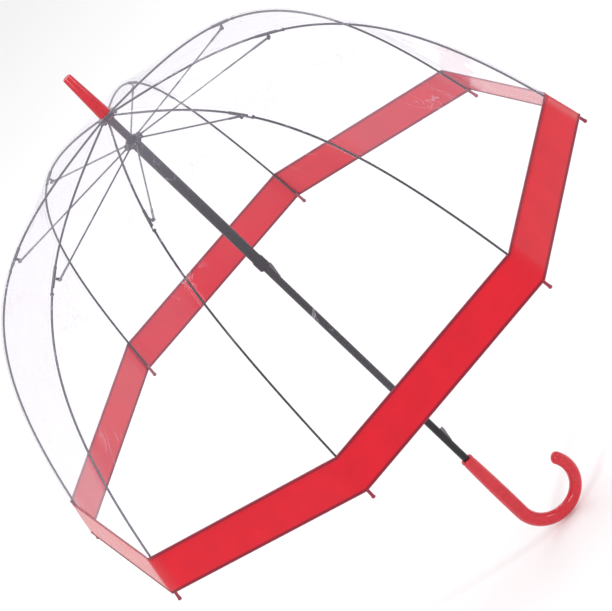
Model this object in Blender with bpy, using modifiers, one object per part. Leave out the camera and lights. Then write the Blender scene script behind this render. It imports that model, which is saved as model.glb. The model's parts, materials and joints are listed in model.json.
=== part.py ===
"""Clear bubble umbrella, open: a dome of clear film with a red hem, on eight jointed ribs.

Metres, +Z up along the shaft. The origin is in the middle of the straight part of the handle,
where a hand holds it, and the crook opens towards +X. Each rib is drawn in its own radial plane:
x out from the shaft, y round it, z up. Distances along a rib start at its pivot in the top notch.
"""

import math

import bmesh
import bpy
from mathutils import Matrix, Vector

# Overall sizes
RIB_COUNT = 8
RIB_TURN = math.radians(-14.5)  # the first rib's heading from +X
RIM_RADIUS = 0.420  # shaft's axis to a corner of the hem
DOME_DEPTH = 0.411  # rib pivots down to the hem's corners
HANDLE_TOP = 0.055
HANDLE_TOP_TO_NOTCH = 0.685
NOTCH_Z = HANDLE_TOP + HANDLE_TOP_TO_NOTCH
GAP = 0.0003  # between pieces that touch or slide

# Rib curve: how far out and down its two Bezier handles stand, as shares of the dome
CROWN_HANDLE = (0.603, 0.094)
SHOULDER_HANDLE = (0.820, 0.224)
CURVE_STEPS = 240

# Shaft, runner and crowns
SHAFT_RADIUS = 0.005
SHAFT_WALL = 0.0008
SHAFT_IN_HANDLE = 0.050
SHAFT_IN_FERRULE = 0.040
PIVOT_RADIUS = 0.012
CROWN_RADIUS = 0.014
CROWN_HALF_HEIGHT = 0.0026
CROWN_GROOVE = 0.0013  # half its height
CROWN_SLOT_BOTTOM = 0.0088
RING_WIRE_RADIUS = 0.0006
RUNNER_RADIUS = 0.007
RUNNER_LENGTH = 0.242  # below its crown
RUNNER_CROWN_DEPTH = 0.0457  # below the notch when open
RUNNER_COLLAR_RADIUS = 0.0082
RUNNER_COLLAR_HEIGHT = 0.014
ROUND_SIDES = 24

# Ribs, brackets and stretchers
WIRE_RADIUS = 0.0013
EYE_RADIUS = 0.0021
EYE_HOLE = 0.0010
EYE_THICKNESS = 0.0016
JOINT_AT = 0.212  # along the rib
SLEEVE_RADIUS = 0.0020
SLEEVE_BEFORE = 0.015
SLEEVE_AFTER = 0.012
SLEEVE_STOP = 0.0025  # the solid end that the rib stops against
KNEE_AFTER = 0.020  # from the bracket's middle to the pin that the outer rib turns on
STRAP_STEP = 0.0001
PIN_RADIUS = 0.0009
TANG = (-0.0019, -0.0005)  # its two faces in y
KNEE_EYE = (-0.0002, 0.0010)
KNEE_HEAD = (0.0013, 0.0020)
EAR = (0.0004, 0.0020)
EAR_DROP = 0.007  # the stretcher's pivot below the rib's centre line
STRETCHER_RADIUS = 0.0011
STRETCHER_SIDE = 0.0039  # its centre line beside the rib's plane
STRETCHER_EYE_SIDE = 0.0033
CLIP_RADIUS = 0.0015
CLIP_LENGTH = 0.028
CLIP_PAST = 0.003  # beyond the stretcher's pivot
RIVET = (0.0023, 0.0051)
TIP_RADIUS = 0.0021
TIP_BEAD_RADIUS = 0.0028
TIP_BEFORE = 0.010
TIP_AFTER = 0.013
CLOSED_JOINT_RADIUS = 0.018
CLOSED_TIP_RADIUS = 0.021

# Canopy
FILM = 0.0008
FILM_ABOVE_RIB = 0.0034
FILM_HOLE = 0.0075
HEM_WIDTH = 0.054
MERIDIAN_STEPS = 13
HEM_STEPS = 3
ROSETTE_RADIUS = 0.012
ROSETTE_THICKNESS = 0.0008

# Ferrule
FERRULE_LENGTH = 0.067
FERRULE_BASE_RADIUS = 0.0088
FERRULE_TIP_RADIUS = 0.0062
FERRULE_EDGE = 0.0010

# Handle
HANDLE_RADIUS = 0.010
CROOK_RADIUS = 0.044
CROOK_SWEEP = math.radians(215)
CROOK_STEPS = 16
COLLAR_RADIUS = 0.0088
COLLAR_HEIGHT = 0.004

# Spring catches
CATCH_WIDTH = 0.0016
CATCH_LENGTH = 0.024
CATCH_REACH = 0.0090
CATCH_ROOT = 0.0005
CATCH_TOE = 0.0054
WINDOW_ABOVE_END = 0.006

RED = (0.78, 0.02, 0.07)
BLACK = (0.015, 0.013, 0.016)
ACROSS = Vector((0, 1, 0))
UP = Vector((0, 0, 1))


# ---------------------------------------------------------------- the rib's curve


def rib_curve(share):
    """A point of the rib's centre line in its radial plane, from the notch pivot to the hem's corner."""
    start = Vector((PIVOT_RADIUS, 0, 0))
    first = Vector((CROWN_HANDLE[0] * RIM_RADIUS, 0, -CROWN_HANDLE[1] * DOME_DEPTH))
    second = Vector((SHOULDER_HANDLE[0] * RIM_RADIUS, 0, -SHOULDER_HANDLE[1] * DOME_DEPTH))
    end = Vector((RIM_RADIUS, 0, -DOME_DEPTH))
    rest = 1 - share
    point = rest**3 * start + 3 * rest**2 * share * first + 3 * rest * share**2 * second + share**3 * end
    return point + Vector((0, 0, NOTCH_Z))


CURVE = [rib_curve(i / CURVE_STEPS) for i in range(CURVE_STEPS + 1)]
REACHED = [0.0]
for before, after in zip(CURVE, CURVE[1:]):
    REACHED.append(REACHED[-1] + (after - before).length)
RIB_LENGTH = REACHED[-1]


def along_rib(distance, inward=0.0):
    """(point, direction) at a distance along the rib, and moved inwards, square to it."""
    i = min(range(CURVE_STEPS), key=lambda k: abs(REACHED[k] - distance))
    i = max(0, i - 1) if REACHED[i] > distance else i
    direction = (CURVE[i + 1] - CURVE[i]).normalized()
    point = CURVE[i] + direction * (distance - REACHED[i])
    inner = Vector((direction.z, 0, -direction.x))
    return point + inner * inward, direction


def turned_in_plane(vector, angle):
    """The vector after folding down by the angle, which turns +x towards -z."""
    return Matrix.Rotation(angle, 3, "Y") @ vector


NOTCH_PIVOT = CURVE[0]
RUNNER_PIVOT = Vector((PIVOT_RADIUS, 0, NOTCH_Z - RUNNER_CROWN_DEPTH))
JOINT_PIVOT = along_rib(JOINT_AT, EAR_DROP)[0]
KNEE = along_rib(JOINT_AT + KNEE_AFTER)[0]


def fold():
    """(rib, outer rib, stretcher) turns in radians and the runner's travel, from open to closed."""
    arm = JOINT_PIVOT - NOTCH_PIVOT
    rib = math.acos((CLOSED_JOINT_RADIUS - PIVOT_RADIUS) / arm.length) - math.atan2(-arm.z, arm.x)
    outer = CURVE[-1] - KNEE
    knee = NOTCH_PIVOT + turned_in_plane(KNEE - NOTCH_PIVOT, rib)
    whole = math.acos((CLOSED_TIP_RADIUS - knee.x) / outer.length) - math.atan2(-outer.z, outer.x)
    strut = JOINT_PIVOT - RUNNER_PIVOT
    closed = NOTCH_PIVOT + turned_in_plane(arm, rib)
    out = closed.x - PIVOT_RADIUS
    low = closed.z - math.sqrt(strut.length**2 - out**2)
    stretcher = math.atan2(strut.z, strut.x) - math.acos(out / strut.length)
    return rib, whole - rib, stretcher, RUNNER_PIVOT.z - low


RIB_FOLD, OUTER_FOLD, STRETCHER_FOLD, RUNNER_TRAVEL = fold()
RUNNER_END = RUNNER_PIVOT.z - RUNNER_LENGTH
UPPER_CATCH_TOP = RUNNER_END - GAP
LOWER_CATCH_TOP = RUNNER_END - RUNNER_TRAVEL + WINDOW_ABOVE_END + CATCH_LENGTH


# ---------------------------------------------------------------- tools


def material(name, colour, roughness, metallic=0.0, alpha=1.0):
    made = bpy.data.materials.new(name)
    made.use_nodes = True
    shader = made.node_tree.nodes["Principled BSDF"]
    shader.inputs["Base Color"].default_value = (*colour, 1)
    shader.inputs["Roughness"].default_value = roughness
    shader.inputs["Metallic"].default_value = metallic
    shader.inputs["Alpha"].default_value = alpha
    return made


def add(name, data, finish, collection, location=(0, 0, 0), heading=0.0):
    made = bpy.data.objects.new(name, data)
    made.location = location
    made.rotation_euler.z = heading
    if not data.materials:
        data.materials.append(finish)
    collection.objects.link(made)
    return made


def cylinder(radius, length, centre, along, sides=12):
    """A mesh cylinder about a point, along a direction."""
    shape = bmesh.new()
    bmesh.ops.create_cone(
        shape, cap_ends=True, segments=sides, radius1=radius, radius2=radius, depth=length
    )
    aim = along.to_track_quat("Z", "Y").to_matrix().to_4x4()
    shape.transform(Matrix.Translation(centre) @ aim)
    return finished(shape)


def rod_between(start, end, radius):
    return cylinder(radius, (end - start).length, (start + end) / 2, end - start, 10)


def box(size, centre, pitch=0.0):
    """A mesh box about a point, pitched down from +x in the radial plane."""
    shape = bmesh.new()
    bmesh.ops.create_cube(shape, size=1)
    shape.transform(
        Matrix.Translation(centre) @ Matrix.Rotation(pitch, 4, "Y") @ Matrix.Diagonal((*size, 1))
    )
    return finished(shape)


def finished(shape):
    data = bpy.data.meshes.new("shape")
    shape.to_mesh(data)
    shape.free()
    return data


def wire(points, radius, resolution=1):
    """A mesh tube with capped ends through the points."""
    curve = bpy.data.curves.new("wire", "CURVE")
    curve.dimensions = "3D"
    curve.bevel_depth = radius
    curve.bevel_resolution = resolution
    curve.use_fill_caps = True
    line = curve.splines.new("POLY")
    line.points.add(len(points) - 1)
    for target, point in zip(line.points, points):
        target.co = (*point, 1)
    holder = bpy.data.objects.new("wire", curve)
    bpy.context.scene.collection.objects.link(holder)
    data = evaluated(holder)
    shape = bmesh.new()
    shape.from_mesh(data)
    bmesh.ops.remove_doubles(shape, verts=shape.verts, dist=1e-6)
    bmesh.ops.recalc_face_normals(shape, faces=shape.faces)
    shape.to_mesh(data)
    shape.free()
    bpy.data.objects.remove(holder)
    return data


def evaluated(holder):
    bpy.context.view_layer.update()
    graph = bpy.context.evaluated_depsgraph_get()
    return bpy.data.meshes.new_from_object(holder.evaluated_get(graph))


def triangulated(data):
    """The mesh in triangles, which stay flat whichever way a piece is turned."""
    shape = bmesh.new()
    shape.from_mesh(data)
    bmesh.ops.triangulate(shape, faces=shape.faces)
    shape.to_mesh(data)
    shape.free()
    return data


def combined(base, joined=(), cut=()):
    """The base mesh with other meshes joined to it and then cut from it."""
    scene = bpy.context.scene.collection
    holder = bpy.data.objects.new("base", triangulated(base))
    scene.objects.link(holder)
    helpers = []
    for operation, meshes in (("UNION", joined), ("DIFFERENCE", cut)):
        for data in meshes:
            helper = bpy.data.objects.new("helper", triangulated(data))
            scene.objects.link(helper)
            helpers.append(helper)
            boolean = holder.modifiers.new(operation.lower(), "BOOLEAN")
            boolean.operation = operation
            boolean.solver = "MANIFOLD"  # the eyes and straps have faces too close together for EXACT
            boolean.object = helper
    made = evaluated(holder)
    for used in (holder, *helpers):
        bpy.data.objects.remove(used)
    return made


def turned(outline, sides=ROUND_SIDES):
    """A closed solid turned round Z from (radius, height) corners that run down its outer side."""
    data = bpy.data.meshes.new("outline")
    count = len(outline)
    corners = [(radius, 0, height) for radius, height in outline]
    closed = outline[0][0] > 0
    edges = [(i, (i + 1) % count) for i in range(count if closed else count - 1)]
    data.from_pydata(corners, edges, [])
    return screwed(data, sides)


def screwed(data, sides, shell=0.0):
    """The outline turned round Z, with a wall added outside it if it is a shell."""
    holder = bpy.data.objects.new("outline", data)
    bpy.context.scene.collection.objects.link(holder)
    screw = holder.modifiers.new("turn", "SCREW")
    screw.steps = screw.render_steps = sides
    screw.use_merge_vertices = True
    screw.merge_threshold = 1e-5
    screw.use_smooth_shade = False
    if shell:
        wall = holder.modifiers.new("wall", "SOLIDIFY")
        wall.thickness = shell
        wall.offset = 1
        wall.use_even_offset = True
    made = evaluated(holder)
    bpy.data.objects.remove(holder)
    return made


def shared(data, pivot):
    """The mesh moved so that its origin is the pivot, to be placed once for each rib."""
    data.transform(Matrix.Translation(-pivot))
    return data


def at_each_rib(name, data, pivot, finish, collection):
    """One object for each rib, with its origin on its pivot."""
    for i in range(RIB_COUNT):
        heading = RIB_TURN + i * math.tau / RIB_COUNT
        spot = Matrix.Rotation(heading, 3, "Z") @ pivot
        add(f"{name}_{i + 1}", data, finish, collection, spot, heading)


def eye(centre, sides, radius=EYE_RADIUS, hole=EYE_HOLE):
    """(plate, hole) of a round eye between two faces in y."""
    low, high = sides
    middle = Vector((centre.x, (low + high) / 2, centre.z))
    plate = cylinder(radius, high - low, middle, ACROSS)
    return plate, cylinder(hole, 3 * (high - low), middle, ACROSS, 8)


def thick(middle, thickness):
    return middle - thickness / 2, middle + thickness / 2


def strap(start, end, height, sides):
    """A flat bar from one point to another in the radial plane, just thinner than its eye."""
    low, high = sides[0] + STRAP_STEP, sides[1] - STRAP_STEP
    run = end - start
    middle = (start + end) / 2
    pitch = math.atan2(-run.z, run.x)
    return box((run.length, high - low, height), Vector((middle.x, (low + high) / 2, middle.z)), pitch)


# ---------------------------------------------------------------- shaft, crowns and runner


def shaft():
    """A steel tube with two slots that the spring catches work in."""
    low = HANDLE_TOP - SHAFT_IN_HANDLE
    high = NOTCH_Z + SHAFT_IN_FERRULE
    outer, inner = SHAFT_RADIUS, SHAFT_RADIUS - SHAFT_WALL
    tube = turned([(inner, high), (outer, high), (outer, low), (inner, low)])
    slots = []
    for top in (UPPER_CATCH_TOP, LOWER_CATCH_TOP):
        size = (2 * SHAFT_RADIUS, CATCH_WIDTH + 2 * GAP, CATCH_LENGTH + 4 * GAP)
        slots.append(box(size, Vector((SHAFT_RADIUS, 0, top - CATCH_LENGTH / 2))))
    return combined(tube, cut=slots)


def catch(top):
    """A leaf with a flat upper edge that stops the runner and a slope that the runner presses in."""
    outline = [
        (CATCH_ROOT, top),
        (CATCH_REACH, top),
        (CATCH_REACH, top - 0.004),
        (CATCH_TOE, top - CATCH_LENGTH),
        (CATCH_ROOT, top - CATCH_LENGTH),
    ]
    shape = bmesh.new()
    corners = [shape.verts.new((x, -CATCH_WIDTH / 2, z)) for x, z in outline]
    face = shape.faces.new(corners)
    sides = bmesh.ops.extrude_face_region(shape, geom=[face])
    moved = [v for v in sides["geom"] if isinstance(v, bmesh.types.BMVert)]
    bmesh.ops.translate(shape, verts=moved, vec=(0, CATCH_WIDTH, 0))
    bmesh.ops.recalc_face_normals(shape, faces=shape.faces)
    return finished(shape)


def crown(middle, bore, slot_side, slot_width):
    """A slotted collar with a groove for the ring wire that the rib or stretcher eyes hang on."""
    high, low = middle + CROWN_HALF_HEIGHT, middle - CROWN_HALF_HEIGHT
    groove_high, groove_low = middle + CROWN_GROOVE, middle - CROWN_GROOVE
    floor = PIVOT_RADIUS - EYE_RADIUS - GAP
    outline = [
        (bore, high),
        (CROWN_RADIUS, high),
        (CROWN_RADIUS, groove_high),
        (floor, groove_high),
        (floor, groove_low),
        (CROWN_RADIUS, groove_low),
        (CROWN_RADIUS, low),
        (bore, low),
    ]
    slots = []
    length = CROWN_RADIUS - CROWN_SLOT_BOTTOM + 0.004
    for i in range(RIB_COUNT):
        slot = box(
            (length, slot_width, 4 * CROWN_HALF_HEIGHT),
            Vector((CROWN_SLOT_BOTTOM + length / 2, slot_side, middle)),
        )
        slot.transform(Matrix.Rotation(RIB_TURN + i * math.tau / RIB_COUNT, 4, "Z"))
        slots.append(slot)
    return combined(turned(outline), cut=slots)


def ring_wire(middle):
    """A wire drawn straight across each slot, so it has a corner between each two ribs."""
    reach = PIVOT_RADIUS / math.cos(math.pi / RIB_COUNT)
    rows = []
    for radius, height in ((1, 1), (1, -1), (-1, -1), (-1, 1)):
        rows.append((reach + radius * RING_WIRE_RADIUS, middle + height * RING_WIRE_RADIUS))
    outline = [rows[3], rows[0], rows[1], rows[2]]
    ring = turned(outline, RIB_COUNT)
    ring.transform(Matrix.Rotation(RIB_TURN + math.pi / RIB_COUNT, 4, "Z"))
    return ring


def runner_tube():
    """The long sleeve that the hand pushes, with a collar at its end and a window for the lower catch."""
    top = RUNNER_PIVOT.z + CROWN_HALF_HEIGHT + 0.004
    bore = SHAFT_RADIUS + GAP
    collar_top = RUNNER_END + RUNNER_COLLAR_HEIGHT
    outline = [
        (bore, top),
        (RUNNER_RADIUS, top),
        (RUNNER_RADIUS, collar_top + 0.003),
        (RUNNER_COLLAR_RADIUS, collar_top),
        (RUNNER_COLLAR_RADIUS, RUNNER_END),
        (bore, RUNNER_END),
    ]
    height = CATCH_LENGTH + 6 * GAP
    middle = RUNNER_END + WINDOW_ABOVE_END + CATCH_LENGTH / 2
    window = box((0.01, CATCH_WIDTH + 4 * GAP, height), Vector((0.01, 0, middle)))
    return combined(turned(outline), cut=[window])


# ---------------------------------------------------------------- ribs and stretchers


def straight_stretch():
    """(start, direction, length) of the rib where the bracket's sleeve holds it straight."""
    start = along_rib(JOINT_AT - SLEEVE_BEFORE)[0]
    run = along_rib(JOINT_AT + SLEEVE_AFTER)[0] - start
    return start, run.normalized(), run.length


def inner_rib():
    """The rib from its eye in the notch to its end inside the bracket's sleeve."""
    count = 7
    first = EYE_RADIUS * 0.6
    last = JOINT_AT - SLEEVE_BEFORE
    points = [along_rib(first + (last - first) * i / count)[0] for i in range(count + 1)]
    start, direction, length = straight_stretch()
    points.append(start + direction * (length - SLEEVE_STOP - GAP))
    plate, hole = eye(NOTCH_PIVOT, thick(0, EYE_THICKNESS))
    return combined(wire(points, WIRE_RADIUS), joined=[plate], cut=[hole])


def bracket():
    """A sleeve on the rib, with an ear for the stretcher and a tang and pin for the outer rib."""
    start, direction, length = straight_stretch()
    centre = start + direction * length / 2
    sleeve = cylinder(SLEEVE_RADIUS, length, centre, direction)
    bore = cylinder(WIRE_RADIUS + GAP, length, centre - direction * SLEEVE_STOP, direction)
    sleeve_end = start + direction * (length - SLEEVE_STOP / 2)
    middle = start + direction * SLEEVE_BEFORE
    knee = Vector((KNEE.x, 0, KNEE.z))
    tang = strap(sleeve_end, knee, 0.0026, TANG)
    tang_end, _ = eye(knee, TANG, EYE_RADIUS - 0.0002)
    low, high = TANG[0], KNEE_HEAD[1]
    pin_length = high - low - 5 * STRAP_STEP
    pin = cylinder(PIN_RADIUS, pin_length, Vector((knee.x, (low + high) / 2, knee.z)), ACROSS, 8)
    head, _ = eye(knee, KNEE_HEAD, 0.0017)
    ear = strap(middle + (JOINT_PIVOT - middle) * 0.18, JOINT_PIVOT, 0.0034, EAR)
    ear_end, _ = eye(JOINT_PIVOT, EAR, 0.0022)
    return combined(sleeve, joined=[tang, tang_end, pin, head, ear, ear_end], cut=[bore])


def outer_rib():
    """The sprung rib from its eye on the bracket's pin to the hem's corner."""
    first = JOINT_AT + KNEE_AFTER + EYE_RADIUS + 0.0008
    count = 12
    points = [along_rib(first + (RIB_LENGTH - first) * i / count)[0] for i in range(count + 1)]
    plate, hole = eye(KNEE, KNEE_EYE, EYE_RADIUS, PIN_RADIUS + GAP)
    neck = strap(KNEE + (points[0] - KNEE) * 0.45, points[0] + (points[1] - points[0]).normalized() * 0.002,
                 0.0022, KNEE_EYE)
    return combined(wire(points, WIRE_RADIUS), joined=[neck, plate], cut=[hole])


def rib_tip():
    """A moulded cap on the rib's end, with a bead that the hem's corner is tied behind."""
    base, direction = along_rib(RIB_LENGTH)
    outline = [
        (0, TIP_AFTER),
        (TIP_BEAD_RADIUS * 0.7, TIP_AFTER),
        (TIP_BEAD_RADIUS, TIP_AFTER - 0.0015),
        (TIP_BEAD_RADIUS * 0.8, TIP_AFTER - 0.004),
        (TIP_RADIUS, TIP_AFTER - 0.007),
        (TIP_RADIUS, -TIP_BEFORE),
        (WIRE_RADIUS + GAP, -TIP_BEFORE),
        (WIRE_RADIUS + GAP, GAP),
        (0, GAP),
    ]
    cap = turned(outline, 10)
    aim = direction.to_track_quat("Z", "Y").to_matrix().to_4x4()
    cap.transform(Matrix.Translation(base) @ aim)
    return cap


def stretcher():
    """A strut beside the rib's plane, with an eye on the runner's wire and a clip at the bracket."""
    side = Vector((0, STRETCHER_SIDE, 0))
    run = (JOINT_PIVOT - RUNNER_PIVOT).normalized()
    inner = RUNNER_PIVOT + run * (EYE_RADIUS * 0.55)
    outer = JOINT_PIVOT + run * CLIP_PAST
    rod = rod_between(inner + side, outer - run * CLIP_LENGTH / 2 + side, STRETCHER_RADIUS)
    clip = rod_between(outer - run * CLIP_LENGTH + side, outer + side, CLIP_RADIUS)
    rivet, _ = eye(JOINT_PIVOT, RIVET, 0.0022)
    plate, hole = eye(RUNNER_PIVOT, thick(STRETCHER_EYE_SIDE, EYE_THICKNESS))
    return combined(rod, joined=[clip, rivet, plate], cut=[hole])


# ---------------------------------------------------------------- canopy, ferrule and handle


def film(first, last, steps):
    """A band of the canopy between two distances along the ribs, flat between each two ribs."""
    points = []
    for i in range(steps + 1):
        point, _ = along_rib(first + (last - first) * i / steps, -FILM_ABOVE_RIB)
        points.append((point.x, 0, point.z))
    if first == 0:
        level = NOTCH_Z + FILM_ABOVE_RIB
        flat_radius = (CROWN_RADIUS + GAP) / math.cos(math.pi / RIB_COUNT)
        points[:1] = [(FILM_HOLE, 0, level), (flat_radius, 0, level)]
    data = bpy.data.meshes.new("meridian")
    data.from_pydata(points, [(i, i + 1) for i in range(len(points) - 1)], [])
    data.transform(Matrix.Rotation(RIB_TURN, 4, "Z"))
    return screwed(data, RIB_COUNT, FILM)


def rosette():
    low = NOTCH_Z + FILM_ABOVE_RIB + FILM + 2 * GAP
    bore = SHAFT_RADIUS + GAP
    high = low + ROSETTE_THICKNESS
    return turned([(bore, high), (ROSETTE_RADIUS, high), (ROSETTE_RADIUS, low), (bore, low)])


def ferrule():
    """The tapered cap on the shaft's top end, with a blind bore."""
    low = NOTCH_Z + FILM_ABOVE_RIB + FILM + ROSETTE_THICKNESS + 3 * GAP
    high = low + FERRULE_LENGTH
    bore = SHAFT_RADIUS + GAP
    bore_top = NOTCH_Z + SHAFT_IN_FERRULE + GAP
    outline = [
        (0, high),
        (FERRULE_TIP_RADIUS - FERRULE_EDGE, high),
        (FERRULE_TIP_RADIUS, high - FERRULE_EDGE),
        (FERRULE_BASE_RADIUS, low + FERRULE_EDGE),
        (FERRULE_BASE_RADIUS, low),
        (bore, low),
        (bore, bore_top),
        (0, bore_top),
    ]
    return turned(outline)


def crook_handle():
    """A straight grip that runs into a hook, with a blind bore for the shaft."""
    points = [Vector((0, 0, HANDLE_TOP)), Vector((0, 0, -HANDLE_TOP))]
    for i in range(1, CROOK_STEPS + 1):
        turn = math.pi + CROOK_SWEEP * i / CROOK_STEPS
        out = CROOK_RADIUS * (1 + math.cos(turn))
        points.append(Vector((out, 0, -HANDLE_TOP + CROOK_RADIUS * math.sin(turn))))
    depth = SHAFT_IN_HANDLE + GAP
    bore = cylinder(SHAFT_RADIUS + GAP, 2 * depth, Vector((0, 0, HANDLE_TOP)), UP, ROUND_SIDES)
    return combined(wire(points, HANDLE_RADIUS, 4), cut=[bore])


def handle_collar():
    low = HANDLE_TOP + GAP
    high = low + COLLAR_HEIGHT
    bore = SHAFT_RADIUS + GAP
    edge = 0.001
    outline = [
        (bore, high),
        (COLLAR_RADIUS - edge, high),
        (COLLAR_RADIUS, high - edge),
        (COLLAR_RADIUS, low),
        (bore, low),
    ]
    return turned(outline)


# ---------------------------------------------------------------- assembly


def build():
    for old in list(bpy.data.objects):
        bpy.data.objects.remove(old)
    umbrella = bpy.data.collections.new("clear_bubble_umbrella")
    bpy.context.scene.collection.children.link(umbrella)
    clear = material("clear_film", (0.96, 0.95, 0.98), 0.05, alpha=0.25)
    red_film = material("red_film", RED, 0.25)
    red = material("red_plastic", RED, 0.22)
    maroon = material("tip_plastic", (0.30, 0.02, 0.05), 0.35)
    black = material("black_steel", BLACK, 0.35, 0.7)
    bright = material("plated_steel", (0.45, 0.44, 0.46), 0.28, 1.0)
    moulded = material("black_plastic", BLACK, 0.45)

    add("shaft_tube", shaft(), black, umbrella)
    add("upper_catch", catch(UPPER_CATCH_TOP), bright, umbrella)
    add("lower_catch", catch(LOWER_CATCH_TOP), bright, umbrella)
    slot = 2 * (WIRE_RADIUS + GAP)
    add("top_notch", crown(NOTCH_Z, SHAFT_RADIUS + GAP, 0, slot), moulded, umbrella)
    add("notch_ring_wire", ring_wire(NOTCH_Z), bright, umbrella)
    spread = 2 * (STRETCHER_RADIUS + 2 * GAP)
    level = RUNNER_PIVOT.z
    side = (STRETCHER_SIDE + STRETCHER_EYE_SIDE) / 2
    add("runner_crown", crown(level, RUNNER_RADIUS + GAP, side, spread), moulded, umbrella)
    add("runner_ring_wire", ring_wire(level), bright, umbrella)
    add("runner_tube", runner_tube(), black, umbrella)

    ribs = (
        ("inner_rib", inner_rib(), NOTCH_PIVOT, black),
        ("rib_bracket", bracket(), NOTCH_PIVOT, moulded),
        ("outer_rib", outer_rib(), KNEE, black),
        ("rib_tip", rib_tip(), KNEE, maroon),
        ("stretcher", stretcher(), RUNNER_PIVOT, bright),
    )
    for name, data, pivot, finish in ribs:
        at_each_rib(name, shared(data, pivot), pivot, finish, umbrella)

    hem_top = RIB_LENGTH - HEM_WIDTH
    add("canopy_film", film(0, hem_top - GAP, MERIDIAN_STEPS), clear, umbrella)
    add("hem_band", film(hem_top, RIB_LENGTH, HEM_STEPS), red_film, umbrella)
    add("canopy_rosette", rosette(), clear, umbrella)
    add("ferrule", ferrule(), red, umbrella)
    add("crook_handle", crook_handle(), red, umbrella)
    add("handle_collar", handle_collar(), red, umbrella)
    for made in umbrella.objects:
        made.data.shade_smooth()
        made.data.set_sharp_from_angle(angle=math.radians(35))


build()
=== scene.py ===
# %% [markdown]
# # A clear bubble umbrella
# The umbrella stands open. A dome of clear film hangs on eight ribs, with an opaque red hem round its
# edge. A hooked red handle sits below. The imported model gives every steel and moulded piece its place,
# so this lesson rebuilds the surfaces of those pieces and builds the canopy from separate sheets.

import json
import math

import bmesh
import bpy
from mathutils import Matrix, Vector


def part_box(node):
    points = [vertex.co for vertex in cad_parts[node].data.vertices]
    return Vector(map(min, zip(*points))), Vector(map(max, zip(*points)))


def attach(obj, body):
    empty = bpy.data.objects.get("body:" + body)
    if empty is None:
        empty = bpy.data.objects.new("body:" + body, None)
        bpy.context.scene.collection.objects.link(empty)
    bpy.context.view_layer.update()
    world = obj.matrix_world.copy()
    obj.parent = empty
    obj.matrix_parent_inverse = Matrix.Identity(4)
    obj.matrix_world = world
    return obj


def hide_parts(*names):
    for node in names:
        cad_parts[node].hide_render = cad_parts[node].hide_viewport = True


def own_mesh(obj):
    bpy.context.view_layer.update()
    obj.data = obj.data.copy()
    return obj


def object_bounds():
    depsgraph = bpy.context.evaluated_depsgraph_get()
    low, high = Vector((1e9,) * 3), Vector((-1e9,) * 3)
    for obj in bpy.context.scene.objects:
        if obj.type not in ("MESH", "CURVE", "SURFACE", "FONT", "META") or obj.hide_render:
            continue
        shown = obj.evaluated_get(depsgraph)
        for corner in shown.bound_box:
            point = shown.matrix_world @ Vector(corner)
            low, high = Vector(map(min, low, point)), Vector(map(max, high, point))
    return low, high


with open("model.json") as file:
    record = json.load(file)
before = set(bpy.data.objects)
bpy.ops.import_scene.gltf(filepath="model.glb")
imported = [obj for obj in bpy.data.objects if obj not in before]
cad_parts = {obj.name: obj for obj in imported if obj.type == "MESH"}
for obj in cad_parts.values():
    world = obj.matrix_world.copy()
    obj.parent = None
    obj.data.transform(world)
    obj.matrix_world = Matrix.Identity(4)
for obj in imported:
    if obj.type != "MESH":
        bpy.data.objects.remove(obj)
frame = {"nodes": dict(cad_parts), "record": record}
cad_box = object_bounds()

# %% [markdown]
# ## Camera first
# The object is seen from a little above, with the camera rolled, so the shaft runs across the view from
# corner to corner. A long lens keeps the dome nearly free of perspective. The camera is built from
# three directions: back towards the camera, right and up, turned together by the roll.

# %% Camera
NOTCH_Z = (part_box("top_notch")[0].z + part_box("top_notch")[1].z) / 2
AIM_BELOW_NOTCH = 0.378
AIM = Vector((0, 0, NOTCH_Z - AIM_BELOW_NOTCH))
ELEVATION = math.radians(22.7)
ROLL = math.radians(-46.35)
DISTANCE = 3.898
LENS = 179.3
LENS_SHIFT = (-0.011, 0.0116)


def turned_camera():
    back = Vector((0, -math.cos(ELEVATION), math.sin(ELEVATION)))
    level = Vector((1, 0, 0))
    upward = Vector((0, math.sin(ELEVATION), math.cos(ELEVATION)))
    right = math.cos(ROLL) * level + math.sin(ROLL) * upward
    up = math.cos(ROLL) * upward - math.sin(ROLL) * level
    place = Matrix((right, up, back)).transposed().to_4x4()
    place.translation = AIM + back * DISTANCE
    return place


lens = bpy.data.cameras.new("camera")
lens.lens = LENS
lens.shift_x, lens.shift_y = LENS_SHIFT
camera = bpy.data.objects.new("camera", lens)
camera.matrix_world = turned_camera()
bpy.context.scene.collection.objects.link(camera)
bpy.context.scene.camera = camera
print("camera at", [round(c, 2) for c in camera.matrix_world.translation])

# %% [markdown]
# ## Floor and light
# A plain pale floor fills the view. The world is a soft white that keeps the shadows faint, and long
# area lights are what clear film needs, because film shows itself only by what it reflects.

# %% Floor and light
FLOOR_SIZE = 30.0
FLOOR_GAP = 0.002
WORLD_STRENGTH = 0.86


def shader_of(name, colour, roughness, metallic=0.0):
    """A new material and its Principled shader."""
    made = bpy.data.materials.new(name)
    made.use_nodes = True
    shader = made.node_tree.nodes["Principled BSDF"]
    shader.inputs["Base Color"].default_value = (*colour, 1)
    shader.inputs["Roughness"].default_value = roughness
    shader.inputs["Metallic"].default_value = metallic
    return made, shader


def lay_floor():
    shape = bmesh.new()
    bmesh.ops.create_grid(shape, size=FLOOR_SIZE / 2, x_segments=4, y_segments=4)
    bmesh.ops.translate(shape, verts=shape.verts, vec=(0, 0, cad_box[0].z - FLOOR_GAP))
    data = bpy.data.meshes.new("floor")
    shape.to_mesh(data)
    shape.free()
    paint, _ = shader_of("floor_paint", (0.96, 0.96, 0.965), 0.9)
    data.materials.append(paint)
    floor = bpy.data.objects.new("floor", data)
    bpy.context.scene.collection.objects.link(floor)


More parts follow.
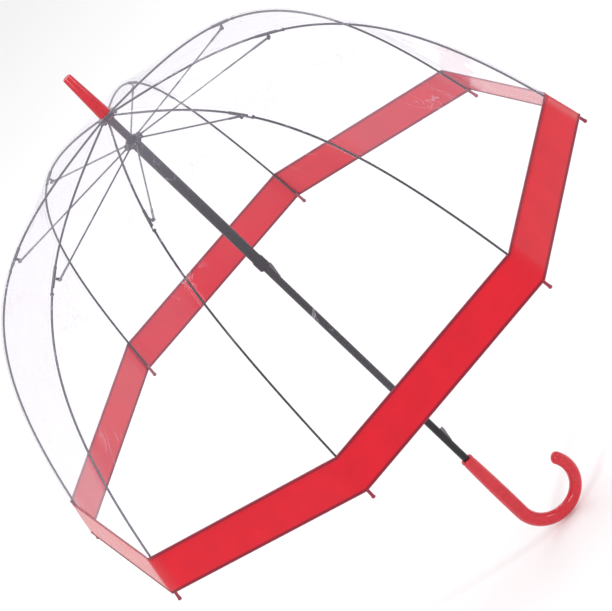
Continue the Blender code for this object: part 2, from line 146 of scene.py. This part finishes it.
def light(name, place, size, power):
    lamp = bpy.data.lights.new(name, "AREA")
    lamp.shape = "RECTANGLE"
    lamp.size, lamp.size_y = size
    lamp.energy = power
    holder = bpy.data.objects.new(name, lamp)
    holder.location = place
    holder.rotation_euler = (AIM - Vector(place)).to_track_quat("-Z", "Y").to_euler()
    bpy.context.scene.collection.objects.link(holder)


lay_floor()
light("key", (-1.6, -2.0, 2.8), (0.3, 2.2), 30)
light("fill", (2.4, -1.4, 2.0), (0.25, 2.0), 16)
light("rim", (0.6, 2.4, 2.6), (1.8, 0.4), 20)
world = bpy.data.worlds.new("studio")
bpy.context.scene.world = world
world.use_nodes = True
world.node_tree.nodes["Background"].inputs["Color"].default_value = (1, 1, 1, 1)
world.node_tree.nodes["Background"].inputs["Strength"].default_value = WORLD_STRENGTH
bpy.context.scene.view_settings.view_transform = "Standard"

# %% [markdown]
# ## Finishes
# Each finish is a Principled shader whose bump and roughness come from noise on Object coordinates.
# Black enamel on wire is thin and slightly uneven, moulded plastic has a faint orange peel, and plated
# steel has fine drawn marks. One helper adds the noise, and each finish sets its own scale.

# %% Uneven surfaces
BUMP_DEPTH = 0.0004


def add_noise(material, shader, scale, bump, rough=None, stretch=(1, 1, 1)):
    """Noise on Object coordinates that drives the bump and, between two values, the roughness."""
    tree = material.node_tree
    place = tree.nodes.new("ShaderNodeTexCoord")
    mapping = tree.nodes.new("ShaderNodeMapping")
    mapping.inputs["Scale"].default_value = stretch
    noise = tree.nodes.new("ShaderNodeTexNoise")
    noise.inputs["Scale"].default_value = scale
    noise.inputs["Detail"].default_value = 6
    lump = tree.nodes.new("ShaderNodeBump")
    lump.inputs["Strength"].default_value = bump
    lump.inputs["Distance"].default_value = BUMP_DEPTH
    tree.links.new(place.outputs["Object"], mapping.inputs["Vector"])
    tree.links.new(mapping.outputs["Vector"], noise.inputs["Vector"])
    tree.links.new(noise.outputs["Fac"], lump.inputs["Height"])
    tree.links.new(lump.outputs["Normal"], shader.inputs["Normal"])
    if rough:
        spread = tree.nodes.new("ShaderNodeMapRange")
        spread.inputs["To Min"].default_value, spread.inputs["To Max"].default_value = rough
        tree.links.new(noise.outputs["Fac"], spread.inputs["Value"])
        tree.links.new(spread.outputs["Result"], shader.inputs["Roughness"])
    return noise


def varied_colour(material, shader, noise, low, high):
    """The same noise also shifts the colour between two near shades."""
    ramp = material.node_tree.nodes.new("ShaderNodeValToRGB")
    ramp.color_ramp.elements[0].position = 0.35
    ramp.color_ramp.elements[1].position = 0.65
    ramp.color_ramp.elements[0].color = (*low, 1)
    ramp.color_ramp.elements[1].color = (*high, 1)
    material.node_tree.links.new(noise.outputs["Fac"], ramp.inputs["Fac"])
    material.node_tree.links.new(ramp.outputs["Color"], shader.inputs["Base Color"])


def solid_finish(name, low, high, scale, bump, rough, metallic=0.0, coat=0.0, stretch=(1, 1, 1)):
    made, shader = shader_of(name, high, rough[0], metallic)
    shader.inputs["Coat Weight"].default_value = coat
    shader.inputs["Coat Roughness"].default_value = 0.08
    noise = add_noise(made, shader, scale, bump, rough, stretch)
    varied_colour(made, shader, noise, low, high)
    return made


print("deepest bump of the hard finishes:", BUMP_DEPTH, "m")

# %% [markdown]
# ## Enamel, steel and plastic
# Five finishes dress the hard pieces. The shaft, the runner's tube and the ribs are enamelled black,
# and the stretchers, the ring wires and the catches are plated. The notch, the runner's crown and the
# rib brackets are black mouldings. The handle, its collar and the ferrule are crimson, and the rib
# tips are a darker red. The plated steel's noise is stretched along the vertical, as drawn marks are.

# %% Hard finishes
ENAMEL = solid_finish(
    "black_enamel", (0.006, 0.005, 0.007), (0.022, 0.018, 0.022), 420, 0.10, (0.22, 0.42), 0.3
)
STEEL = solid_finish(
    "plated_steel", (0.10, 0.10, 0.11), (0.22, 0.215, 0.23), 90, 0.12, (0.20, 0.40), 1.0, stretch=(1, 1, 0.1)
)
MOULDED = solid_finish("black_plastic", (0.010, 0.009, 0.010), (0.030, 0.028, 0.030), 600, 0.15, (0.38, 0.55))
CRIMSON = solid_finish(
    "crimson_plastic", (0.52, 0.003, 0.014), (0.62, 0.005, 0.022), 160, 0.05, (0.18, 0.28), coat=0.3
)
MAROON = solid_finish(
    "maroon_plastic", (0.20, 0.008, 0.03), (0.34, 0.012, 0.045), 300, 0.10, (0.26, 0.40), coat=0.3
)
FINISHES = {
    "black_steel": ENAMEL,
    "plated_steel": STEEL,
    "black_plastic": MOULDED,
    "red_plastic": CRIMSON,
    "tip_plastic": MAROON,
}
print("hard finishes:", sorted(FINISHES))

# %% [markdown]
# ## Clear film
# The film is soft vinyl, a fraction of a millimetre thick. It bends light too little to need refraction,
# so the shader stays nearly transparent, and a Layer Weight makes it denser where it is seen edge on,
# as a real sheet is. Long low waves in the bump break the reflections into streaks, and a second
# noise paints white glare in a few patches, drawn as thin fold creases: a painted reflection. The UV
# map holds metres across and along a gore, so the waves run down it.

# %% Film finish
FILM_TINT = (0.80, 0.74, 0.90)
FILM_FACING = 0.045
FILM_EDGE_ON = 0.34
# The painted glare's greatest alpha: white crease lines that stand for reflected light.
PAINTED_GLARE_ALPHA = 0.70


def painted_glare_creases(tree, uv):
    """Painted glare drawn as white fold creases: thin bands where a warped noise crosses its middle, in a few
    patches.
    """
    stretch = tree.nodes.new("ShaderNodeMapping")
    stretch.inputs["Scale"].default_value = (1, 0.45, 1)
    lines = tree.nodes.new("ShaderNodeTexNoise")
    lines.inputs["Scale"].default_value = 26
    lines.inputs["Detail"].default_value = 5
    lines.inputs["Distortion"].default_value = 1.2
    band = tree.nodes.new("ShaderNodeValToRGB")
    band.color_ramp.elements[0].position = 0.492
    band.color_ramp.elements[0].color = (0, 0, 0, 1)
    band.color_ramp.elements[1].position = 0.508
    band.color_ramp.elements[1].color = (0, 0, 0, 1)
    band.color_ramp.elements.new(0.5).color = (1, 1, 1, 1)
    patches = tree.nodes.new("ShaderNodeTexNoise")
    patches.inputs["Scale"].default_value = 6
    where = tree.nodes.new("ShaderNodeMapRange")
    where.inputs["From Min"].default_value = 0.48
    where.inputs["From Max"].default_value = 0.66
    where.inputs["To Max"].default_value = PAINTED_GLARE_ALPHA
    product = tree.nodes.new("ShaderNodeMath")
    product.operation = "MULTIPLY"
    tree.links.new(uv.outputs["UV"], stretch.inputs["Vector"])
    tree.links.new(stretch.outputs["Vector"], lines.inputs["Vector"])
    tree.links.new(lines.outputs["Fac"], band.inputs["Fac"])
    tree.links.new(uv.outputs["UV"], patches.inputs["Vector"])
    tree.links.new(patches.outputs["Fac"], where.inputs["Value"])
    tree.links.new(band.outputs["Color"], product.inputs[0])
    tree.links.new(where.outputs["Result"], product.inputs[1])
    return product.outputs["Value"]


def film_finish(name, tint, facing, edge_on, wave_bump):
    made, shader = shader_of(name, tint, 0.07)
    shader.inputs["Specular IOR Level"].default_value = 0.6
    tree = made.node_tree
    uv = tree.nodes.new("ShaderNodeUVMap")
    uv.uv_map = "gore"
    mapping = tree.nodes.new("ShaderNodeMapping")
    mapping.inputs["Scale"].default_value = (1, 0.35, 1)
    waves = tree.nodes.new("ShaderNodeTexNoise")
    waves.inputs["Scale"].default_value = 16
    waves.inputs["Detail"].default_value = 2
    lump = tree.nodes.new("ShaderNodeBump")
    lump.inputs["Strength"].default_value = wave_bump
    lump.inputs["Distance"].default_value = 0.01
    tree.links.new(uv.outputs["UV"], mapping.inputs["Vector"])
    tree.links.new(mapping.outputs["Vector"], waves.inputs["Vector"])
    tree.links.new(waves.outputs["Fac"], lump.inputs["Height"])
    tree.links.new(lump.outputs["Normal"], shader.inputs["Normal"])
    weight = tree.nodes.new("ShaderNodeLayerWeight")
    weight.inputs["Blend"].default_value = 0.35
    density = tree.nodes.new("ShaderNodeMapRange")
    density.inputs["To Min"].default_value = facing
    density.inputs["To Max"].default_value = edge_on
    tree.links.new(weight.outputs["Facing"], density.inputs["Value"])
    # Painted glare, white crease lines standing for reflected light, raises the film's alpha.
    painted_glare = painted_glare_creases(tree, uv)
    total = tree.nodes.new("ShaderNodeMath")
    total.use_clamp = True
    tree.links.new(density.outputs["Result"], total.inputs[0])
    tree.links.new(painted_glare, total.inputs[1])
    tree.links.new(total.outputs["Value"], shader.inputs["Alpha"])
    return made


FILM = film_finish("clear_film", FILM_TINT, FILM_FACING, FILM_EDGE_ON, 0.35)
WELD = film_finish("welded_film", (0.80, 0.76, 0.88), 0.10, 0.32, 0.1)
print("film:", FILM.name, WELD.name)

# %% [markdown]
# ## Red hem film
# The hem is the same vinyl with pigment, glossy and opaque, with a darker line along both of its edges
# where it is welded double. The lines follow the second UV coordinate, which runs from 0 at the hem's
# upper edge to 1 at its lower edge, kept in its own map.

# %% Hem finish
HEM_RED = (0.74, 0.003, 0.020)
HEM_EDGE = (0.30, 0.004, 0.022)
# A Mix node has sockets for every kind of value. These are its factor and its two colours.
MIX_INPUTS = (0, 6, 7)
MIX_OUTPUT = 2


def hem_finish():
    made, shader = shader_of("red_hem_film", HEM_RED, 0.2)
    shader.inputs["Specular IOR Level"].default_value = 0.3
    shader.inputs["Coat Weight"].default_value = 0.12
    shader.inputs["Coat Roughness"].default_value = 0.06
    noise = add_noise(made, shader, 34, 0.5, (0.16, 0.30))
    tree = made.node_tree
    uv = tree.nodes.new("ShaderNodeUVMap")
    uv.uv_map = "band"
    split = tree.nodes.new("ShaderNodeSeparateXYZ")
    line = tree.nodes.new("ShaderNodeValToRGB")
    line.color_ramp.elements[0].color = (*HEM_EDGE, 1)
    line.color_ramp.elements[1].color = (*HEM_EDGE, 1)
    for position, colour in ((0.045, HEM_EDGE), (0.075, HEM_RED), (0.925, HEM_RED), (0.955, HEM_EDGE)):
        line.color_ramp.elements.new(position).color = (*colour, 1)
    shade = tree.nodes.new("ShaderNodeMix")
    shade.data_type = "RGBA"
    shade.blend_type = "MULTIPLY"
    factor, first, second = (shade.inputs[place] for place in MIX_INPUTS)
    factor.default_value = 0.25
    tree.links.new(uv.outputs["UV"], split.inputs["Vector"])
    tree.links.new(split.outputs["Y"], line.inputs["Fac"])
    tree.links.new(line.outputs["Color"], first)
    tree.links.new(noise.outputs["Color"], second)
    tree.links.new(shade.outputs[MIX_OUTPUT], shader.inputs["Base Color"])
    return made


HEM = hem_finish()
print("hem:", HEM.name)

# %% [markdown]
# ## Turned and moulded pieces
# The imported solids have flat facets. A copy of each has its doubled corners merged and its level facets
# joined, and takes smooth shading with a crease kept wherever the surface turns by more than 38
# degrees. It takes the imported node's place, rides on its body and gets a finish by the record's slot.

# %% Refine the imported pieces
REBUILT = ("canopy_film", "hem_band", "crook_handle", "inner_rib", "outer_rib")
SLOTS = {entry["node"]: entry["material_slot"] for entry in frame["record"]["subparts"]}
BODIES = frame["record"]["behaviour"]["bodies"]
BODY_OF = {node: body for body, nodes in BODIES.items() for node in nodes}
CREASE = math.radians(38)
LEVEL = math.radians(1)
DOUBLED = 2e-6


def show(name, data, finish, body, slot, *nodes):
    """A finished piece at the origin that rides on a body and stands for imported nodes."""
    if not data.materials:
        data.materials.append(finish)
    piece = bpy.data.objects.new(name, data)
    bpy.context.scene.collection.objects.link(piece)
    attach(piece, body)
    if nodes:
        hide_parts(*nodes)
    return piece


def smooth_copy(node):
    shape = bmesh.new()
    shape.from_mesh(frame["nodes"][node].data)
    bmesh.ops.remove_doubles(shape, verts=shape.verts, dist=DOUBLED)
    bmesh.ops.dissolve_limit(shape, angle_limit=LEVEL, verts=shape.verts, edges=shape.edges)
    data = bpy.data.meshes.new(f"fine_{node}")
    shape.to_mesh(data)
    shape.free()
    data.shade_smooth()
    data.set_sharp_from_angle(angle=CREASE)
    return data


refined = 0
for node in sorted(frame["nodes"]):
    if not node.startswith(REBUILT):
        slot = SLOTS[node]
        finish = FINISHES.get(slot, WELD)
        data = smooth_copy(node)
        if finish is WELD:
            data.uv_layers.new(name="gore")
        show(f"fine_{node}", data, finish, BODY_OF[node], slot, node)
        refined += 1
print("refined pieces:", refined)

# %% [markdown]
# ## The rib's line
# Every rib follows one Bezier curve in its own radial plane, from the notch to the hem's corner. The
# film, the hem, the welds and the piping all follow that line too, so it is computed once and read by
# distance along it. The radius and depth of the hem's corner are the model's own driving sizes.

# %% Rib line
RIBS = 8
TURN = math.radians(-14.5)
STEP = math.tau / RIBS
HALF = STEP / 2
PIVOT_RADIUS = 0.012
RIM_RADIUS = 0.420
DOME_DEPTH = 0.411
CROWN_HANDLE = (0.603, 0.094)
SHOULDER_HANDLE = (0.820, 0.224)
FILM_ABOVE_RIB = 0.0036
HEM_WIDTH = 0.054
FINE = 400


def bezier(share):
    rest = 1 - share
    corners = (
        Vector((PIVOT_RADIUS, 0, 0)),
        Vector((CROWN_HANDLE[0] * RIM_RADIUS, 0, -CROWN_HANDLE[1] * DOME_DEPTH)),
        Vector((SHOULDER_HANDLE[0] * RIM_RADIUS, 0, -SHOULDER_HANDLE[1] * DOME_DEPTH)),
        Vector((RIM_RADIUS, 0, -DOME_DEPTH)),
    )
    shares = (rest**3, 3 * rest**2 * share, 3 * rest * share**2, share**3)
    return sum((w * c for w, c in zip(shares, corners)), Vector((0, 0, NOTCH_Z)))


LINE = [bezier(i / FINE) for i in range(FINE + 1)]
LENGTHS = [0.0]
for low, high in zip(LINE, LINE[1:]):
    LENGTHS.append(LENGTHS[-1] + (high - low).length)
RIB_LENGTH = LENGTHS[-1]
HEM_TOP = RIB_LENGTH - HEM_WIDTH


def on_rib(distance, above=0.0):
    """A point at a distance along the rib, raised square to it."""
    i = min(FINE - 1, max(0, round(distance / RIB_LENGTH * FINE)))
    while i > 0 and LENGTHS[i] > distance:
        i -= 1
    while i < FINE - 1 and LENGTHS[i + 1] < distance:
        i += 1
    along = (LINE[i + 1] - LINE[i]).normalized()
    return LINE[i] + along * (distance - LENGTHS[i]) + Vector((-along.z, 0, along.x)) * above


print(f"rib length {RIB_LENGTH:.3f} m")

# %% [markdown]
# ## One gore
# Between two ribs the film is pulled nearly flat, so a section across a gore is a straight line with a
# slight inward sag. A point at an angle from the rib lies on that line. Each rib carries the two half
# gores beside it, which lets the canopy close with its ribs. The sheet is split at the rib's knee, and
# the hem is a third sheet below.

# %% Gore mesh
KNEE_AT = 0.232
HUB_RADIUS = 0.0075
FLAT_RADIUS = 0.0155
SAG = 0.003
ACROSS_STEPS = 16
SEAM_OVERLAP = 0.0003
FIRST_RING_GAP = 0.004


def on_gore(distance, angle, above=FILM_ABOVE_RIB):
    """A point of the film, by distance along the rib and angle from the rib's plane."""
    point = on_rib(distance, above)
    away = abs(angle) / HALF
    radius = point.x * math.cos(HALF) / math.cos(HALF - abs(angle))
    free = math.sin(math.pi * min(1, distance / HEM_TOP))
    sag = SAG * math.sin(math.pi * away / 2) ** 2 * free
    radius -= sag
    return Vector((radius * math.cos(angle), radius * math.sin(angle), point.z))


def hub_point(radius, angle):
    out = radius * math.cos(HALF) / math.cos(HALF - abs(angle))
    return Vector((out * math.cos(angle), out * math.sin(angle), NOTCH_Z + FILM_ABOVE_RIB))


def gore(name, start, end, steps, rib, hub=False, proud=0.0):
    """A sheet across one rib, from mid-gore to mid-gore, with its two UV maps."""
    shape = bmesh.new()
    lay = shape.loops.layers.uv.new("gore")
    band = shape.loops.layers.uv.new("band")
    rows = []
    distances = [start + (end - start) * i / steps for i in range(steps + 1)]
    rings = [("hub", HUB_RADIUS), ("hub", FLAT_RADIUS)] if hub else []
    rings += [("rib", d) for d in distances if not hub or d > FLAT_RADIUS + FIRST_RING_GAP]
    for kind, size in rings:
        row = []
        for j in range(ACROSS_STEPS + 1):
            angle = HALF * (2 * j / ACROSS_STEPS - 1)
            point = hub_point(size, angle) if kind == "hub" else on_gore(size, angle, FILM_ABOVE_RIB + proud)
            share = (size - start) / (end - start)
            vertex = shape.verts.new(Matrix.Rotation(TURN + rib * STEP, 3, "Z") @ point)
            row.append((vertex, (point.x * math.tan(angle), size), (j / ACROSS_STEPS, share)))
        rows.append(row)
    for upper, lower in zip(rows, rows[1:]):
        for j in range(ACROSS_STEPS):
            corners = (upper[j], lower[j], lower[j + 1], upper[j + 1])
            face = shape.faces.new([c[0] for c in corners])
            for loop, corner in zip(face.loops, corners):
                loop[lay].uv, loop[band].uv = corner[1], corner[2]
    data = bpy.data.meshes.new(name)
    area = sum(f.calc_area() for f in shape.faces)
    width = sum((a[0].co - b[0].co).length for a, b in zip(rows[-1], rows[-1][1:]))
    shape.to_mesh(data)
    shape.free()
    data.shade_smooth()
    return data, area, width


print("mid-gore at the rim:", [round(c, 3) for c in on_gore(RIB_LENGTH, HALF)])

# %% [markdown]
# ## Sheets on the ribs
# Film can't follow the joints exactly, so each sheet rides on its rib. The flat size and area of each
# sheet are measured on the sheet's own mesh.

# %% Canopy sheets
HEM_PROUD = 0.0002


def gather(piece, rib):
    heading = TURN + rib * STEP
    anchor = Matrix.Rotation(heading, 3, "Z") @ on_rib(KNEE_AT)
    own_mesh(piece)


def hang(name, data, finish, body, slot, node, rib):
    piece = show(name, data, finish, body, slot, node)
    gather(piece, rib)
    return piece


SHEETS = (
    ("crown_film", 0.0, KNEE_AT, 22, FILM, "rib", "clear_film", "canopy_film"),
    ("skirt_film", KNEE_AT, HEM_TOP + SEAM_OVERLAP, 34, FILM, "tail", "clear_film", "canopy_film"),
    ("hem_film", HEM_TOP, RIB_LENGTH, 6, HEM, "tail", "red_film", "hem_band"),
)
for rib in range(RIBS):
    for name, start, end, steps, finish, carrier, slot, node in SHEETS:
        hub = start == 0
        data, area, width = gore(name, start, end, steps, rib, hub, HEM_PROUD if finish is HEM else 0)
        piece = hang(f"{name}_{rib + 1}", data, finish, f"{carrier}_{rib + 1}", slot, node, rib)
        if rib == 0:
            print(f"{name}: {width:.3f} x {end - start:.3f} m, {area:.4f} m2")

# %% [markdown]
# ## Wire and tube by nodes
# Ribs, the handle, the hem's piping and the weld lines are all one idea: a round section swept along a
# path. A Geometry Nodes tree does it once. It reads a radius from an attribute on the path, so the
# handle can swell in the grip and taper to its end.

# %% Tube tree
def tube_tree():
    tree = bpy.data.node_groups.new("tube_along_path", "GeometryNodeTree")
    face = tree.interface
    face.new_socket("Path", in_out="INPUT", socket_type="NodeSocketGeometry")
    face.new_socket("Sides", in_out="INPUT", socket_type="NodeSocketInt")
    face.new_socket("Finish", in_out="INPUT", socket_type="NodeSocketMaterial")
    face.new_socket("Tube", in_out="OUTPUT", socket_type="NodeSocketGeometry")
    add = tree.nodes.new
    given, result = add("NodeGroupInput"), add("NodeGroupOutput")
    curve, sweep = add("GeometryNodeMeshToCurve"), add("GeometryNodeCurveToMesh")
    radius, ring = add("GeometryNodeInputNamedAttribute"), add("GeometryNodeCurvePrimitiveCircle")
    smooth, real, wear = (
        add("GeometryNodeSetShadeSmooth"),
        add("GeometryNodeRealizeInstances"),
        add("GeometryNodeSetMaterial"),
    )
    radius.inputs["Name"].default_value = "radius"
    sweep.inputs["Fill Caps"].default_value = True
    join = tree.links.new
    join(given.outputs["Path"], curve.inputs["Mesh"])
    join(curve.outputs["Curve"], sweep.inputs["Curve"])
    join(given.outputs["Sides"], ring.inputs["Resolution"])
    join(ring.outputs["Curve"], sweep.inputs["Profile Curve"])
    join(radius.outputs["Attribute"], sweep.inputs["Scale"])
    join(sweep.outputs["Mesh"], smooth.inputs["Geometry"])
    join(smooth.outputs["Geometry"], real.inputs["Geometry"])
    join(real.outputs["Geometry"], wear.inputs["Geometry"])
    join(given.outputs["Finish"], wear.inputs["Material"])
    join(wear.outputs["Geometry"], result.inputs["Tube"])
    return tree


TUBE = tube_tree()
SWEPT_DOUBLED = 1e-6


def grown(tree, paths, radii, **values):
    """The plain mesh that a tree makes from paths of points, with a radius for each point."""
    data = bpy.data.meshes.new("paths")
    corners, edges, sizes = [], [], []
    for points, size in zip(paths, radii):
        first = len(corners)
        corners += [tuple(p) for p in points]
        edges += [(first + i, first + i + 1) for i in range(len(points) - 1)]
        sizes += size if isinstance(size, list) else [size] * len(points)
    data.from_pydata(corners, edges, [])
    data.attributes.new("radius", "FLOAT", "POINT").data.foreach_set("value", sizes)
    holder = bpy.data.objects.new("paths", data)
    bpy.context.scene.collection.objects.link(holder)
    nodes = holder.modifiers.new("nodes", "NODES")
    nodes.node_group = tree
    for item in tree.interface.items_tree:
        if item.in_out == "INPUT" and item.name in values:
            nodes[item.identifier] = values[item.name]
    holder.update_tag()
    bpy.context.view_layer.update()
    made = bpy.data.meshes.new_from_object(holder.evaluated_get(bpy.context.evaluated_depsgraph_get()))
    bpy.data.objects.remove(holder)
    shape = bmesh.new()
    shape.from_mesh(made)
    bmesh.ops.remove_doubles(shape, verts=shape.verts, dist=SWEPT_DOUBLED)
    bmesh.ops.recalc_face_normals(shape, faces=shape.faces)
    shape.to_mesh(made)
    shape.free()
    made.set_sharp_from_angle(angle=CREASE)
    return made


print("nodes in the tube tree:", len(TUBE.nodes))

# %% [markdown]
# ## Ribs
# Each rib is sprung wire. The inner length runs from the notch into the bracket, and the outer length
# from the knee, just past the bracket, to the tip. Swept with a point every few millimetres, the wire
# bends smoothly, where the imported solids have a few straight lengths. The flattened eyes at the wires'
# ends are left out here.

# %% Rib wires
WIRE_RADIUS = 0.0014
EYE_START = 0.0020
SLEEVE_START = 0.197
SLEEVE_GRIP = 0.020
KNEE_SINK = 0.001


def rib_points(start, end, rib, count):
    turn = Matrix.Rotation(TURN + rib * STEP, 3, "Z")
    return [turn @ on_rib(start + (end - start) * i / count) for i in range(count + 1)]


for rib in range(RIBS):
    spans = (
        ("inner_wire", EYE_START, SLEEVE_START + SLEEVE_GRIP, 44, "rib", "inner_rib"),
        ("outer_wire", KNEE_AT - KNEE_SINK, RIB_LENGTH, 80, "tail", "outer_rib"),
    )
    for name, start, end, count, body, node in spans:
        points = rib_points(start, end, rib, count)
        data = grown(TUBE, [points], [WIRE_RADIUS], Sides=14, Finish=ENAMEL)
        carrier, packed = f"{body}_{rib + 1}", f"{node}_{rib + 1}"
        show(f"{name}_{rib + 1}", data, ENAMEL, carrier, "black_steel", packed)
print("rib wires:", 2 * RIBS)

# %% [markdown]
# ## Handle
# The handle is one moulding: a grip that swells a little in the palm and bends into a hook. Its line is
# a straight run and an arc, and the radius follows a rule along it, with the last few points drawing in
# to a rounded end.

# %% Crook handle
HANDLE_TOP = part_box("crook_handle")[1].z
CROOK_RADIUS = 0.044
CROOK_SWEEP = math.radians(215)
GRIP_RADIUS = 0.0100
MOUTH_RADIUS = 0.0086
END_RADIUS = 0.0078
STRAIGHT_STEPS = 24
ARC_STEPS = 56
SWELL_RATE = 1.7
SWELL_POWER = 0.8
TAPER_FROM = 0.3
END_ROUNDING = 0.006
END_SHARE = 0.12
MOUTH_ROUNDING = 0.002
MOUTH_SHARE = 0.94


def handle_line():
    straight = []
    for i in range(STRAIGHT_STEPS + 1):
        straight.append(Vector((0, 0, HANDLE_TOP * (1 - 2 * i / STRAIGHT_STEPS))))
    arc = []
    for i in range(1, ARC_STEPS + 1):
        turn = math.pi + CROOK_SWEEP * i / ARC_STEPS
        side = CROOK_RADIUS * (1 + math.cos(turn))
        arc.append(Vector((side, 0, -HANDLE_TOP + CROOK_RADIUS * math.sin(turn))))
    return straight + arc


def handle_radii(points):
    walked = [0.0]
    for a, b in zip(points, points[1:]):
        walked.append(walked[-1] + (b - a).length)
    radii = []
    for far in walked:
        share = far / walked[-1]
        rise = math.sin(math.pi * min(1, share * SWELL_RATE)) ** SWELL_POWER
        radius = MOUTH_RADIUS + (GRIP_RADIUS - MOUTH_RADIUS) * rise
        if share >= TAPER_FROM:
            drawn = (GRIP_RADIUS - END_RADIUS) * (share - TAPER_FROM) / (1 - TAPER_FROM)
            radius = max(radius, GRIP_RADIUS - drawn)
        left = walked[-1] - far
        round_end = math.sqrt(max(0.0, 1 - (1 - min(1.0, left / END_ROUNDING)) ** 2))
        round_top = MOUTH_SHARE + (1 - MOUTH_SHARE) * min(1.0, far / MOUTH_ROUNDING)
        radii.append(radius * max(END_SHARE, round_end) * round_top)
    return radii


def end_points(points):
    """Extra points near the far end, so that the rounding has room."""
    last, before = points[-1], points[-2]
    extra = [before.lerp(last, 1 - 0.5**k) for k in range(1, 6)]
    return points[:-1] + extra + [last]


line = end_points(handle_line())
data = grown(TUBE, [line], [handle_radii(line)], Sides=40, Finish=CRIMSON)
show("handle_moulding", data, CRIMSON, "frame", "red_plastic", "crook_handle")
print("handle faces:", len(data.polygons))

# %% [markdown]
# ## Weld lines and piping
# Film is welded to film with a heated bar, which leaves two fine lines beside each rib. The hem's edges
# are turned and piped. Both are thin tubes on the film's surface, swept by the same tree, and they ride
# on the same bodies as the sheets that they lie on.

# %% Welds and piping
WELD_RADIUS = 0.00030
WELD_OFFSET = 0.0040
PIPING_RADIUS = 0.0008
WELD_START = 0.03
WELD_STEPS = 50
WELD_LIMIT = HALF * 0.9
WELD_ABOVE = FILM_ABOVE_RIB + 0.0002
TOP_PIPING_ABOVE = FILM_ABOVE_RIB + 0.0004
RIM_PIPING_ABOVE = FILM_ABOVE_RIB + 0.0002


def weld_path(start, end, rib, side):
    turn = Matrix.Rotation(TURN + rib * STEP, 3, "Z")
    points = []
    for i in range(WELD_STEPS + 1):
        distance = start + (end - start) * i / WELD_STEPS
        radius = on_rib(distance, FILM_ABOVE_RIB).x
        angle = side * min(WELD_LIMIT, WELD_OFFSET / radius)
        points.append(turn @ on_gore(distance, angle, WELD_ABOVE))
    return points


def ring_path(distance, rib, above, count=24):
    turn = Matrix.Rotation(TURN + rib * STEP, 3, "Z")
    return [turn @ on_gore(distance, HALF * (2 * j / count - 1), above) for j in range(count + 1)]


WELDS = (("crown_welds", WELD_START, KNEE_AT, "rib"), ("skirt_welds", KNEE_AT, HEM_TOP, "tail"))
for rib in range(RIBS):
    for name, start, end, carrier in WELDS:
        paths = [weld_path(start, end, rib, side) for side in (-1, 1)]
        data = grown(TUBE, paths, [WELD_RADIUS] * 2, Sides=6, Finish=WELD)
        data.uv_layers.new(name="gore")
        gather(show(f"{name}_{rib + 1}", data, WELD, f"{carrier}_{rib + 1}", "clear_film"), rib)
    edges = [ring_path(HEM_TOP, rib, TOP_PIPING_ABOVE), ring_path(RIB_LENGTH, rib, RIM_PIPING_ABOVE)]
    data = grown(TUBE, edges, [PIPING_RADIUS] * 2, Sides=8, Finish=MAROON)
    gather(show(f"hem_piping_{rib + 1}", data, MAROON, f"tail_{rib + 1}", "red_film"), rib)
print("weld and piping pieces:", 3 * RIBS)

# %% [markdown]
# ## Stitches
# A row of short stitches holds the hem below its upper piping. A second tree sets one small bar at each
# step along a path and turns it to follow the path. Bars are made real and joined, because instances
# would be lost.

# %% Stitch tree
STITCH_PITCH = 0.0042
STITCH_LENGTH = 0.0026
STITCH_RADIUS = 0.00028
STITCH_INSET = 0.0045
STITCH_ABOVE = FILM_ABOVE_RIB + 0.0003


def stitch_tree():
    tree = bpy.data.node_groups.new("stitches_along_path", "GeometryNodeTree")
    face = tree.interface
    face.new_socket("Path", in_out="INPUT", socket_type="NodeSocketGeometry")
    for name in ("Pitch", "Length", "Thickness"):
        face.new_socket(name, in_out="INPUT", socket_type="NodeSocketFloat")
    face.new_socket("Finish", in_out="INPUT", socket_type="NodeSocketMaterial")
    face.new_socket("Stitches", in_out="OUTPUT", socket_type="NodeSocketGeometry")
    add = tree.nodes.new
    given, result = add("NodeGroupInput"), add("NodeGroupOutput")
    curve, places = add("GeometryNodeMeshToCurve"), add("GeometryNodeCurveToPoints")
    bar, copies = add("GeometryNodeMeshCylinder"), add("GeometryNodeInstanceOnPoints")
    real, wear = add("GeometryNodeRealizeInstances"), add("GeometryNodeSetMaterial")
    places.mode = "LENGTH"
    bar.inputs["Vertices"].default_value = 6
    join = tree.links.new
    join(given.outputs["Path"], curve.inputs["Mesh"])
    join(curve.outputs["Curve"], places.inputs["Curve"])
    join(given.outputs["Pitch"], places.inputs["Length"])
    join(given.outputs["Length"], bar.inputs["Depth"])
    join(given.outputs["Thickness"], bar.inputs["Radius"])
    join(places.outputs["Points"], copies.inputs["Points"])
    join(places.outputs["Rotation"], copies.inputs["Rotation"])
    join(bar.outputs["Mesh"], copies.inputs["Instance"])
    join(copies.outputs["Instances"], real.inputs["Geometry"])
    join(real.outputs["Geometry"], wear.inputs["Geometry"])
    join(given.outputs["Finish"], wear.inputs["Material"])
    join(wear.outputs["Geometry"], result.inputs["Stitches"])
    return tree


THREAD = solid_finish("red_thread", (0.42, 0.004, 0.025), (0.60, 0.008, 0.040), 2000, 0.3, (0.5, 0.7))
STITCHES = stitch_tree()
STITCH = {"Pitch": STITCH_PITCH, "Length": STITCH_LENGTH, "Thickness": STITCH_RADIUS, "Finish": THREAD}
for rib in range(RIBS):
    path = ring_path(HEM_TOP + STITCH_INSET, rib, STITCH_ABOVE)
    data = grown(STITCHES, [path], [0.0], **STITCH)
    gather(show(f"hem_stitches_{rib + 1}", data, THREAD, f"tail_{rib + 1}", "red_film"), rib)
print("stitch pieces:", RIBS)
